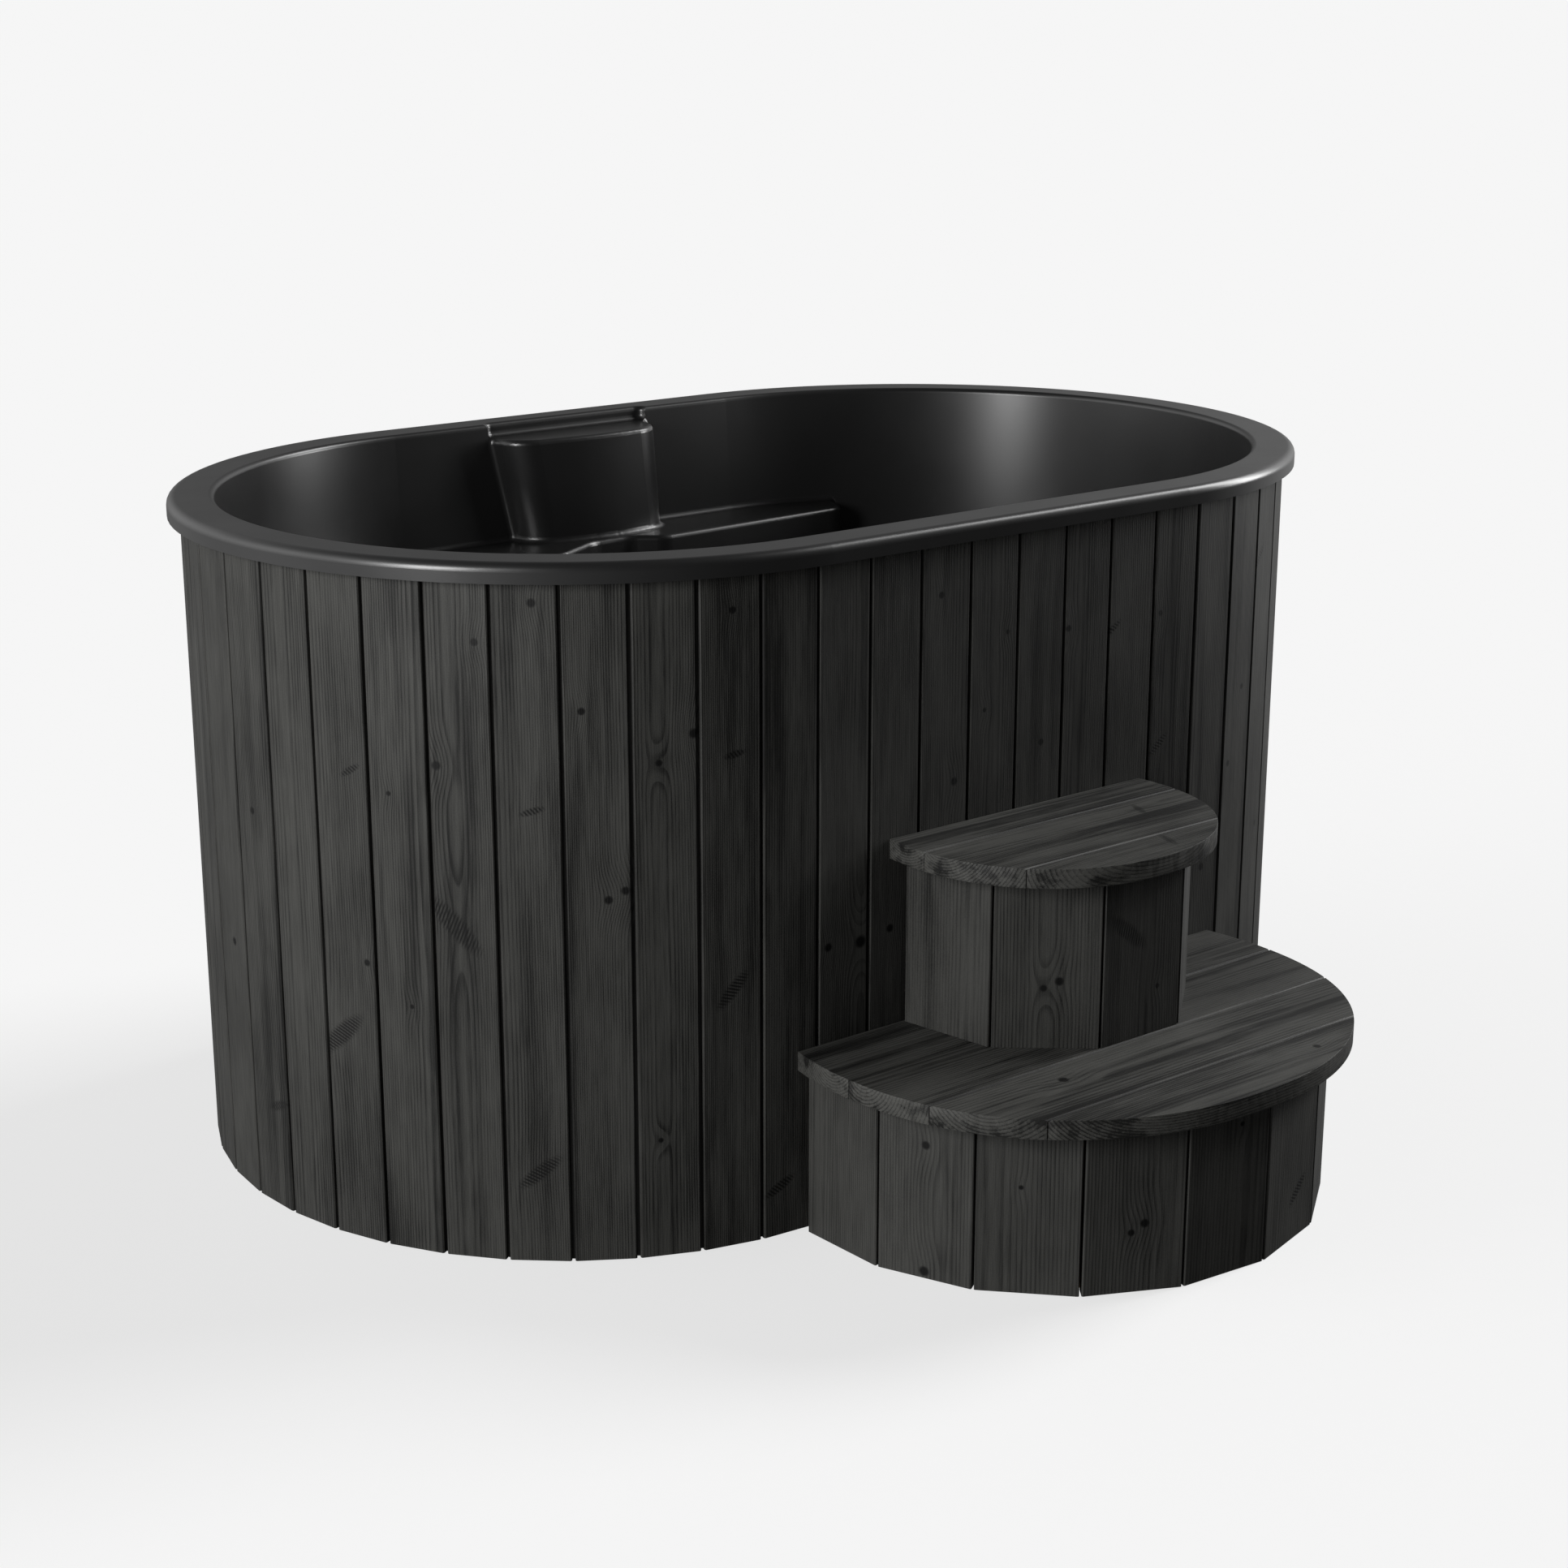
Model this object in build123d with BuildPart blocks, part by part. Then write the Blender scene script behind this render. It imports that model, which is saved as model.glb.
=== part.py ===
"""Timber-clad plunge tub with a moulded liner, and the two-tier stair that stands against its front.

Millimetres, +Z up. X runs along the tub, the stair is on the -Y side, and the origin is the middle of
the tub on the floor.
"""
import os
from math import acos, cos, degrees, hypot, pi, radians, sin, sqrt, tan

from build123d import *

# The tub's outline is a stadium: two straight sides closed by two half circles.
end_radius = 562.0            # outer face of the cladding at the round ends
straight_half = 327.0         # half of a straight side
perimeter = 4 * straight_half + 2 * pi * end_radius

# Cladding: tongue-and-groove boards standing on the floor
board_count = 55
board_pitch = perimeter / board_count
first_groove = -977.2         # along the outline from the front side's left end
board_thickness = 20.0
groove_gap = 5.0              # open groove between two faces
face_chamfer = 1.6
tongue_thickness = 5.0
tongue_back = 8.0             # from the face to the tongue
tongue_reach = 6.0            # past the middle of the groove
slot_play = 1.5
slot_depth = 6.5
hidden_hoop_radius = 540.0    # what the backs of the boards are fixed to

# Moulded liner
rim_top = 954.0
wall = 8.0
rim_overhang = 17.0           # past the cladding
rim_inset = 48.5              # from the cladding's face to the liner's inner edge
lip_bottom = 927.0
lip_thickness = 9.0
rim_outer_round = 12.0
rim_inner_round = 8.0
draft = 4.0                   # degrees, on the liner's walls
floor_top = 121.0
floor_round = 45.0
inner_radius = end_radius - rim_inset

# Steps moulded into the liner's back wall
high_step_top = 932.0
low_step_top = 762.0
step_draft = 3.5
step_round = 8.0
hollow_round = 9.0            # where a step meets the wall or the step below
niche_depth = 12.0            # cut into the wall behind the high step
niche_left, niche_right = -155.0, 157.0
niche_round = 14.0
niche_foot = 9.0              # rounding where its back meets the step's tread
niche_reach = 80.0            # front to back, most of it inside the cavity
wall_root = 552.0             # how far back the step outlines run
high_step_foot = low_step_top - 20.0
# Each outline of the high step: left end at the root, left front corner, middle of the bow, right front
# corner, right end at the root, and the rounding of the two corners
high_step_at_top = ((-164, wall_root), (-136, 456), (25, 437), (138, 447), (164, wall_root), 60)
high_step_at_foot = ((-130, wall_root), (-104, 452), (30, 428), (148, 446), (180, wall_root), 60)

# Base and hoops
deck_top = floor_top - wall
deck_thickness = 18.0
deck_bottom = deck_top - deck_thickness
deck_seam = 1.0
deck_left_seam, deck_right_seam = -230.0, 0.0      # over the joists beside the drain
panel_front, panel_back = 40.0, 260.0              # loose panel round the drain
joist_width = 45.0
joist_places = (-460.0, -230.0, 0.0, 230.0, 460.0)
hoop_thickness = 24.0
rim_hoop_bottom, rim_hoop_inner = 890.0, 521.5
middle_hoop_bottom, middle_hoop_inner = 480.0, 493.0
foot_hoop_inner = 497.0

# Drain and valve, under the floor and out through a back board
drain_x = -103.6              # the middle of a back board
drain_y = 150.0
pipe_z = 42.0
pipe_radius = 20.0
pipe_bore = 17.5
pipe_socket = 20.0            # length of pipe inside the elbow
valve_socket = 8.0            # length of pipe inside each end of the valve
board_hole_play = 3.0
deck_hole_play = 4.0
collar_width = 14.0
collar_thickness = 4.0
tail_radius = 24.5
tail_bore = 18.0
tail_bottom = 74.0
flange_radius = 42.0
flange_thickness = 4.0
grate_radius = 29.7
grate_thickness = 3.0
grate_proud = 0.5
grate_bottom = floor_top + flange_thickness - grate_thickness + grate_proud
grate_play = 0.3
grate_hole = 3.0
grate_rings = ((11.0, 6), (20.0, 12))      # each ring's radius and number of holes
gasket_thickness = 2.5
gasket_inset = 2.0
nut_radius = 35.0
nut_height = 11.5
nut_wing = 10.0
elbow_radius = 26.0
elbow_cup_radius = 31.0
elbow_top = 96.0
elbow_end = drain_y + 50.0
valve_y = 601.0
valve_half = 31.0
valve_barrel = 24.0
valve_belly = 29.0
hexagon_length = 13.0
neck_radius = 11.0
neck_top = pipe_z + 38.0
seat_reach = 23.0             # from the ball's middle to a seat's far side
seat_near = 13.0
ball_radius = 21.0
seat_bore = 15.5
ball_bore = 14.0
ball_play = 0.3
stem_foot = pipe_z + 17.0
stem_radius = 6.0
stem_end_radius = 4.0
stem_end_length = 12.0
stem_play = 0.05
packing_nut_height = 7.0
lever_bottom = neck_top + 9.0
lever_thickness = 4.0
lever_length = 108.0
lever_width = 14.0
lever_boss = 12.0
grip_start = 34.0             # along the lever
grip_end = lever_length + 12.0
grip_width = 21.0
grip_wall = 3.0
grip_corner = 9.0
grip_edge = 2.5
lever_nut_radius = 7.5
lever_nut_height = 6.0
shank_radius = 18.5           # the spigot's end inside the valve
spigot_bore = 15.0
spigot_end = 662.0

# Stair: two D-shaped boxes of upright boards, each under a tread of planks
stair_back = -end_radius - 1.0
stair_x = 24.0
box_x = 29.0
riser_thickness = 20.0
riser_gap = 3.0
tread_thickness = 27.0
tread_power = 2.15
tread_points = 24             # spaces between the points that a tread's bow runs through
lower_tread_top = 264.0
upper_tread_top = 532.0
lower_tread = (405.0, 386.0, 95.0)      # half width, bow depth, straight part behind the widest place
upper_tread = (240.0, 240.0, 41.0)
lower_seams = (118.0, 248.0, 376.0)     # from the tread's back edge
upper_seams = (72.0, 208.0)
seam_gap = 1.0
seam_chamfer = 2.0
lower_box = (-627.0, 394.0, -98.2, 20.6)     # centre Y, radius, first corner's and next corners' angles
upper_box = (-602.0, 219.0, -99.8, 39.9)
former_thickness = 18.0
former_play = 0.5
post_side = 45.0
lower_post_spread, upper_post_spread = 320.0, 150.0
screw_radius = 2.0
screw_head = 4.2
screw_sink = 3.0
screw_point = 4.0
screw_bite = 15.0             # into the tread
clear_of_all = 2000.0         # size of a cutting block that reaches past every piece

os.makedirs("parts", exist_ok=True)


def save(piece, name):
    """Label a finished piece and write it to its own file."""
    piece.label = name
    export_step(piece, "parts/" + name + ".step")


# The liner

def liner_cavity():
    """The bathing space: a drafted stadium with a rounded floor, less the two steps."""
    with BuildPart() as space:
        with BuildSketch(Plane.XY.offset(rim_top)):
            SlotCenterToCenter(2 * straight_half, 2 * inner_radius)
        extrude(amount=-(rim_top - floor_top), taper=draft)
        fillet(space.faces().sort_by(Axis.Z)[0].edges(), floor_round)
        add(high_step(), mode=Mode.SUBTRACT)
        add(low_step(), mode=Mode.SUBTRACT)
        fillet([edge for edge in space.edges() if is_step_hollow(edge)], hollow_round)
        add(niche())
    return space.part


def niche():
    """The shallow niche behind the high step, its foot rounded into the step's tread."""
    with BuildPart() as space:
        with BuildSketch(Plane.XY.offset(high_step_top)):
            add(niche_outline())
        extrude(amount=rim_top - high_step_top)
        fillet(space.faces().sort_by(Axis.Z)[0].edges(), niche_foot)
    return space.part


def niche_outline(grown=0.0):
    """Plan of the shallow niche behind the high step."""
    back = inner_radius + niche_depth + grown
    with BuildSketch() as plan:
        with Locations(((niche_left + niche_right) / 2, back - niche_reach / 2)):
            RectangleRounded(niche_right - niche_left + 2 * grown, niche_reach, niche_round + grown)
    return plan.sketch


def is_step_hollow(edge):
    """True for an edge where a step rises from the one below or meets the wall above the low step."""
    box = edge.bounding_box()
    if box.min.Z < low_step_top - 0.5 or box.max.Z > high_step_top - step_round + 0.5:
        return False
    along_wall = box.min.Y > 468
    round_high_step = box.min.Y > 421 and abs(edge.center().X) < 175
    return along_wall or round_high_step


def high_step_outline(left_root, left_front, middle, right_front, right_root, corner_round):
    """Plan of the high step at one level: slanted ends and a bowed front."""
    with BuildSketch() as plan:
        with BuildLine():
            Line(left_root, left_front)
            ThreePointArc(left_front, middle, right_front)
            Line(right_front, right_root)
            Line(right_root, left_root)
        make_face()
        fillet(plan.vertices().group_by(Axis.Y)[0] + plan.vertices().group_by(Axis.Y)[1], corner_round)
    return plan.sketch


def high_step(inset=0.0):
    """The high step from its tread down into the low step, or the same shape a wall's thickness in."""
    with BuildPart() as step:
        for level, corners in ((high_step_foot, high_step_at_foot), (high_step_top, high_step_at_top)):
            with BuildSketch(Plane.XY.offset(level - inset)):
                add(high_step_outline(*corners))
                if inset:
                    offset(amount=-inset)
        loft()
        if not inset:
            fillet(step.faces().sort_by(Axis.Z)[-1].edges(), step_round)
    return step.part


def low_step_outline():
    """Plan of the low step at its top: a long shelf whose front dips in before the high step."""
    corners = [(-330, wall_root), (-330, 362), (-112, 362), (-20, 414), (52, 414), (100, 380), (505, 400),
               (540, wall_root)]
    with BuildSketch() as plan:
        with BuildLine():
            FilletPolyline(*corners, radius=[70, 60, 60, 40, 40, 50])
            Line(corners[-1], corners[0])
        make_face()
    return plan.sketch


def low_step(inset=0.0):
    """The low step from its tread down through the floor, or the same shape a wall's thickness in."""
    with BuildPart() as step:
        with BuildSketch(Plane.XY.offset(low_step_top - inset)):
            add(low_step_outline())
            if inset:
                offset(amount=-inset)
        extrude(amount=-(low_step_top - inset - deck_top + 1), taper=-step_draft)
        if not inset:
            fillet(step.faces().sort_by(Axis.Z)[-1].edges(), step_round)
    return step.part


def liner_shell():
    """One moulding: walls, floor, steps that are hollow behind, and a rim that hangs over the cladding."""
    cavity = liner_cavity()
    lip_outer = end_radius + rim_overhang
    with BuildPart() as shell:
        with BuildSketch(Plane.XY.offset(rim_top)):
            SlotCenterToCenter(2 * straight_half, 2 * (inner_radius + wall))
        extrude(amount=-(rim_top - deck_top), taper=draft)
        fillet(shell.faces().sort_by(Axis.Z)[0].edges(), floor_round + wall)
        with BuildSketch(Plane.XY.offset(high_step_top - wall)):
            add(niche_outline(wall))
        extrude(amount=rim_top - high_step_top)
        add(high_step(wall), mode=Mode.SUBTRACT)
        add(low_step(wall), mode=Mode.SUBTRACT)
        with BuildSketch(Plane.XY.offset(lip_bottom)):
            SlotCenterToCenter(2 * straight_half, 2 * lip_outer)
            SlotCenterToCenter(2 * straight_half, 2 * (lip_outer - lip_thickness), mode=Mode.SUBTRACT)
        extrude(amount=rim_top - lip_bottom)
        with BuildSketch(Plane.XY.offset(rim_top - wall)):
            SlotCenterToCenter(2 * straight_half, 2 * (lip_outer - lip_thickness))
        extrude(amount=wall)
        outline_edges = shell.faces().sort_by(Axis.Z)[-1].outer_wire().edges()
        fillet(outline_edges, rim_outer_round)
        add(cavity, mode=Mode.SUBTRACT)
        fillet(shell.faces().sort_by(Axis.Z)[-1].inner_wires()[0].edges(), rim_inner_round)
        with Locations((drain_x, drain_y, floor_top - wall / 2)):
            Cylinder(tail_radius, 2 * wall, mode=Mode.SUBTRACT)
    return shell.part


# Cladding

def outline_point(s, radius=end_radius):
    """Point on the stadium, s along its outer outline from the left end of the front side."""
    half_turn = pi * end_radius
    side = 2 * straight_half
    s = s % perimeter
    if s < side:
        return Vector(-straight_half + s, -radius)
    if s < side + half_turn:
        angle = (s - side) / end_radius
        return Vector(straight_half + radius * sin(angle), -radius * cos(angle))
    if s < 2 * side + half_turn:
        return Vector(straight_half - (s - side - half_turn), radius)
    angle = (s - 2 * side - half_turn) / end_radius
    return Vector(-straight_half - radius * sin(angle), radius * cos(angle))


def upright_plane(start, end):
    """Plane with X along a board's face, Y into the board and Z up."""
    along = end - start
    return Plane(origin=(start.X, start.Y, 0), x_dir=(along.X, along.Y, 0), z_dir=(0, 0, 1))


def cladding_board(start, end, height):
    """One upright board between two outline points: chamfered face, tongue on one edge, slot on the other."""
    width = hypot(end.X - start.X, end.Y - start.Y)
    left, right = groove_gap / 2, width - groove_gap / 2
    tongue_front = tongue_back + tongue_thickness
    slot_front, slot_rear = tongue_back - slot_play, tongue_front + slot_play / 2
    with BuildPart() as board:
        with BuildSketch(upright_plane(start, end)):
            with BuildLine():
                Polyline((left + face_chamfer, 0), (right - face_chamfer, 0), (right, face_chamfer),
                         (right, tongue_back), (width + tongue_reach, tongue_back),
                         (width + tongue_reach, tongue_front), (right, tongue_front),
                         (right, board_thickness), (left, board_thickness), (left, slot_rear),
                         (left + slot_depth, slot_rear), (left + slot_depth, slot_front),
                         (left, slot_front), (left, face_chamfer), close=True)
            make_face()
        extrude(amount=height)
    return board.part


def cladding_side(middle_test):
    """The boards whose middles lie on one side of the tub."""
    boards = []
    for i in range(board_count):
        s = first_groove + i * board_pitch
        start, end = outline_point(s), outline_point(s + board_pitch)
        if middle_test((start + end) * 0.5):
            boards.append(cladding_board(start, end, rim_top - wall))
    return boards


def pipe_hole(boards):
    """Bore the clearance hole for the drain pipe through the board that it meets."""
    bored = []
    for board in boards:
        with BuildPart() as drilled:
            add(board)
            box = board.bounding_box()
            if box.min.X < drain_x < box.max.X:
                with BuildSketch(Plane.XZ.offset(-end_radius)):
                    with Locations((drain_x, pipe_z)):
                        Circle(pipe_radius + board_hole_play)
                extrude(amount=2 * board_thickness, both=True, mode=Mode.SUBTRACT)
        bored.append(drilled.part)
    return bored


# Base and hoops

def hoop(inner, bottom, thickness):
    """A flat stadium ring that the boards are fixed to, its straight sides bearing on their backs."""
    with BuildPart() as ring:
        with BuildSketch(Plane.XY.offset(bottom)):
            SlotCenterToCenter(2 * straight_half, 2 * hidden_hoop_radius)
            Rectangle(2 * (straight_half - board_pitch), 2 * (end_radius - board_thickness))
            SlotCenterToCenter(2 * straight_half, 2 * inner, mode=Mode.SUBTRACT)
        extrude(amount=thickness)
    return ring.part


def deck_sheet(left, right, front, back):
    """Plywood under the liner between four saw cuts, less the hole for the drain's nut where it has one."""
    with BuildPart() as sheet:
        with BuildSketch(Plane.XY.offset(deck_bottom)):
            SlotCenterToCenter(2 * straight_half, 2 * hidden_hoop_radius)
            with Locations(((left + right) / 2, (front + back) / 2)):
                Rectangle(right - left - deck_seam, back - front - deck_seam, mode=Mode.INTERSECT)
            with Locations((drain_x, drain_y)):
                Circle(flange_radius + deck_hole_play, mode=Mode.SUBTRACT)
        extrude(amount=deck_thickness)
    return sheet.part


def base_deck():
    """The sheets that the liner sits on: two large ones, and two in the bay of the drain panel."""
    return Compound([
        deck_sheet(-clear_of_all, deck_left_seam, -clear_of_all, clear_of_all),
        deck_sheet(deck_right_seam, clear_of_all, -clear_of_all, clear_of_all),
        deck_sheet(deck_left_seam, deck_right_seam, -clear_of_all, panel_front),
        deck_sheet(deck_left_seam, deck_right_seam, panel_back, clear_of_all),
    ])


def base_joist(x):
    """A bearer across the tub under the deck, from one side of the foot hoop to the other."""
    past_straight = max(0.0, abs(x) + joist_width / 2 - straight_half)
    reach = sqrt(foot_hoop_inner ** 2 - past_straight ** 2)
    with BuildPart() as joist:
        with Locations((x, 0, deck_bottom / 2)):
            Box(joist_width, 2 * reach, deck_bottom)
    return joist.part


# Drain and valve

def pipe_run(radius, start, end):
    """A round bar along Y on the drain pipe's line."""
    with BuildPart() as bar:
        with BuildSketch(Plane.XZ.offset(-start)):
            with Locations((drain_x, pipe_z)):
                Circle(radius)
        extrude(amount=-(end - start))
    return bar.part


def drain_ring(outer, inner, bottom, top):
    """A flat ring round the drain's upright axis."""
    with BuildPart() as ring:
        with BuildSketch(Plane.XY.offset(bottom)):
            with Locations((drain_x, drain_y)):
                Circle(outer)
                Circle(inner, mode=Mode.SUBTRACT)
        extrude(amount=top - bottom)
    return ring.part


def drain_fitting():
    """Flanged tailpiece that clamps the liner's floor."""
    with BuildPart() as fitting:
        add(drain_ring(flange_radius, tail_bore, floor_top, floor_top + flange_thickness))
        add(drain_ring(tail_radius, tail_bore, tail_bottom, floor_top))
        top_edges = fitting.edges().filter_by(GeomType.CIRCLE).group_by(Axis.Z)[-1]
        fillet(top_edges.sort_by(SortBy.RADIUS)[-1], flange_thickness / 2)
        with Locations((drain_x, drain_y, grate_bottom)):
            Cylinder(grate_radius + grate_play, flange_thickness, mode=Mode.SUBTRACT,
                     align=(Align.CENTER, Align.CENTER, Align.MIN))
    return fitting.part


def drain_strainer():
    """Round grate let into the flange."""
    with BuildPart() as grate:
        with BuildSketch(Plane.XY.offset(grate_bottom)):
            with Locations((drain_x, drain_y)):
                Circle(grate_radius)
                for ring_radius, holes in grate_rings:
                    with PolarLocations(ring_radius, holes):
                        Circle(grate_hole, mode=Mode.SUBTRACT)
        extrude(amount=grate_thickness)
        fillet(grate.edges().filter_by(GeomType.CIRCLE).group_by(Axis.Z)[-1].sort_by(SortBy.RADIUS)[-1], 1)
    return grate.part


def drain_locknut():
    """Winged nut under the liner's floor."""
    with BuildPart() as nut:
        with BuildSketch(Plane.XY.offset(deck_top - gasket_thickness - nut_height)):
            with Locations((drain_x, drain_y)):
                Circle(nut_radius)
                with PolarLocations(nut_radius, 6):
                    Rectangle(nut_wing, nut_wing)
                Circle(tail_radius, mode=Mode.SUBTRACT)
        extrude(amount=nut_height)
    return nut.part


def drain_elbow():
    """Square elbow that turns the drain towards the back."""
    middle = (drain_x, drain_y, pipe_z)
    with BuildPart() as elbow:
        with Locations(middle):
            Sphere(elbow_radius)
            Cylinder(elbow_radius, elbow_top - pipe_z, align=(Align.CENTER, Align.CENTER, Align.MIN))
        with Locations((drain_x, drain_y, tail_bottom)):
            Cylinder(elbow_cup_radius, elbow_top - tail_bottom, align=(Align.CENTER, Align.CENTER, Align.MIN))
        add(pipe_run(elbow_radius, drain_y, elbow_end))
        with Locations(middle):
            Sphere(pipe_bore, mode=Mode.SUBTRACT)
            Cylinder(pipe_bore, elbow_top, align=(Align.CENTER, Align.CENTER, Align.MIN), mode=Mode.SUBTRACT)
        add(drain_ring(tail_radius, pipe_bore - 1, tail_bottom, elbow_top), mode=Mode.SUBTRACT)
        add(pipe_run(pipe_bore, drain_y, elbow_end), mode=Mode.SUBTRACT)
        add(pipe_run(pipe_radius, elbow_end - pipe_socket, elbow_end), mode=Mode.SUBTRACT)
    return elbow.part


def pipe_sleeve(outer, inner, start, end):
    """A tube along the drain pipe's line."""
    with BuildPart() as sleeve:
        add(pipe_run(outer, start, end))
        add(pipe_run(inner, start - 1, end + 1), mode=Mode.SUBTRACT)
    return sleeve.part


def valve_body():
    """Brass ball-valve body with hexagon ends and a neck for the stem."""
    front, back = valve_y - valve_half, valve_y + valve_half
    with BuildPart() as body:
        add(pipe_run(valve_barrel, front, back))
        with Locations((drain_x, valve_y, pipe_z)):
            Sphere(valve_belly)
        for end, inwards in ((front, -1), (back, 1)):
            with BuildSketch(Plane.XZ.offset(-end)):
                with Locations((drain_x, pipe_z)):
                    RegularPolygon(valve_belly, 6)
            extrude(amount=inwards * hexagon_length)
        add(stem_stack(lambda: Circle(neck_radius), pipe_z, neck_top))
        add(pipe_run(ball_radius + ball_play, valve_y - seat_reach, valve_y + seat_reach), mode=Mode.SUBTRACT)
        add(pipe_run(pipe_bore, front, back), mode=Mode.SUBTRACT)
        add(pipe_run(pipe_radius, front, front + valve_socket), mode=Mode.SUBTRACT)
        add(pipe_run(shank_radius, back - valve_socket, back), mode=Mode.SUBTRACT)
        add(stem_stack(lambda: Circle(stem_radius + stem_play), pipe_z, neck_top), mode=Mode.SUBTRACT)
    return body.part


def outlet_spigot():
    """Tail that the drain hose pushes onto, with a narrower shank screwed into the valve."""
    back = valve_y + valve_half
    with BuildPart() as spigot:
        add(pipe_run(shank_radius, back - valve_socket, back))
        add(pipe_run(pipe_radius, back, spigot_end))
        add(pipe_run(spigot_bore, back - valve_socket, spigot_end), mode=Mode.SUBTRACT)
    return spigot.part


def valve_seat(near, far):
    """Ring that seals one side of the ball, hollowed to the ball's shape."""
    with BuildPart() as seat:
        add(pipe_sleeve(ball_radius + ball_play, seat_bore, near, far))
        with Locations((drain_x, valve_y, pipe_z)):
            Sphere(ball_radius + ball_play, mode=Mode.SUBTRACT)
    return seat.part


def valve_ball():
    """Bored ball, shut: its bore lies across the pipe."""
    with BuildPart() as ball:
        with Locations((drain_x, valve_y, pipe_z)):
            Sphere(ball_radius)
            Cylinder(ball_bore, 2 * ball_radius, rotation=(0, 90, 0), mode=Mode.SUBTRACT)
        add(stem_stack(lambda: Circle(stem_radius), stem_foot, pipe_z + ball_radius), mode=Mode.SUBTRACT)
    return ball.part


def stem_stack(shape, bottom, top):
    """A piece on the valve's stem: the shape's sketch between two heights."""
    with BuildPart() as piece:
        with BuildSketch(Plane.XY.offset(bottom)):
            with Locations((drain_x, valve_y)):
                shape()
        extrude(amount=top - bottom)
    return piece.part


def packing_nut_shape():
    """Hexagon round the stem."""
    RegularPolygon(2 * stem_radius, 6)
    Circle(stem_radius + stem_play, mode=Mode.SUBTRACT)


def lever_nut_shape():
    """Hexagon on the stem's end."""
    RegularPolygon(lever_nut_radius, 6)
    Circle(stem_end_radius, mode=Mode.SUBTRACT)


def valve_stem():
    """Stem from the ball up through the neck, turned down where it carries the lever."""
    with BuildPart() as stem:
        add(stem_stack(lambda: Circle(stem_radius), stem_foot, lever_bottom))
        add(stem_stack(lambda: Circle(stem_end_radius), lever_bottom, lever_bottom + stem_end_length))
    return stem.part


def valve_lever():
    """Flat steel lever, lying along X when the valve is shut."""
    with BuildPart() as lever:
        with BuildSketch(Plane.XY.offset(lever_bottom)):
            with Locations((drain_x, valve_y)):
                Circle(lever_boss)
                with Locations((lever_length / 2, 0)):
                    Rectangle(lever_length, lever_width)
                with Locations((lever_length, 0)):
                    Circle(lever_width / 2)
                Circle(stem_end_radius, mode=Mode.SUBTRACT)
        extrude(amount=lever_thickness)
    return lever.part


def lever_grip():
    """Moulded sleeve over the lever's free end."""
    with BuildPart() as grip:
        with BuildSketch(Plane.XY.offset(lever_bottom - grip_wall)):
            with Locations((drain_x + (grip_start + grip_end) / 2, valve_y)):
                RectangleRounded(grip_end - grip_start, grip_width, grip_corner)
        extrude(amount=lever_thickness + 2 * grip_wall)
        fillet(grip.faces().sort_by(Axis.Z)[-1].edges(), grip_edge)
        fillet(grip.faces().sort_by(Axis.Z)[0].edges(), grip_edge)
        add(valve_lever(), mode=Mode.SUBTRACT)
    return grip.part


# Stair

def tread_outline(half_width, depth, widest):
    """D-shaped tread: a rounded bow, squarer than an ellipse, cut straight along the tub."""
    centre = stair_back - widest
    back_angle = degrees(acos(-(widest / depth) ** (tread_power / 2)))
    bow = []
    for i in range(tread_points + 1):
        angle = radians(-back_angle + 2 * back_angle * i / tread_points)
        across, ahead = sin(angle), cos(angle)
        x = half_width * abs(across) ** (2 / tread_power) * (1 if across > 0 else -1)
        y = depth * abs(ahead) ** (2 / tread_power) * (1 if ahead > 0 else -1)
        bow.append((stair_x + x, centre - y))
    with BuildSketch() as plan:
        with BuildLine():
            Spline(*bow)
            Line(bow[-1], bow[0])
        make_face()
    return plan.sketch


def tread_planks(half_width, depth, widest, top, seams):
    """The planks of one tread, cut from its outline by the seams, with the edges along them eased."""
    edges = [0.0] + list(seams) + [depth + widest + 1]
    planks = []
    for near, far in zip(edges[:-1], edges[1:]):
        y_high = stair_back - near - (seam_gap / 2 if near > 0 else 0)
        y_low = stair_back - far + (seam_gap / 2 if far < edges[-1] else 0)
        with BuildPart() as plank:
            with BuildSketch(Plane.XY.offset(top - tread_thickness)):
                add(tread_outline(half_width, depth, widest))
                with Locations((stair_x, (y_low + y_high) / 2)):
                    Rectangle(4 * half_width, y_high - y_low, mode=Mode.INTERSECT)
            extrude(amount=tread_thickness)
            top_edges = plank.faces().sort_by(Axis.Z)[-1].edges()
            along = [e for e in top_edges.filter_by(Axis.X) if e.center().Y < stair_back - 1]
            chamfer(along, seam_chamfer)
        planks.append(plank.part)
    return planks


def box_corner(centre_y, radius, angle):
    """A corner of a stair box's outline, at an angle from straight ahead."""
    return Vector(box_x + radius * sin(radians(angle)), centre_y - radius * cos(radians(angle)))


def box_corners(centre_y, radius, start, step):
    """Corners of a stair box from its left end round to the tub, the last one ripped to meet it."""
    last = 180 - degrees(acos((stair_back - centre_y) / radius))
    angles = []
    angle = start
    while angle < last - 1:
        angles.append(angle)
        angle += step
    angles.append(last)
    return [box_corner(centre_y, radius, a) for a in angles]


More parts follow.
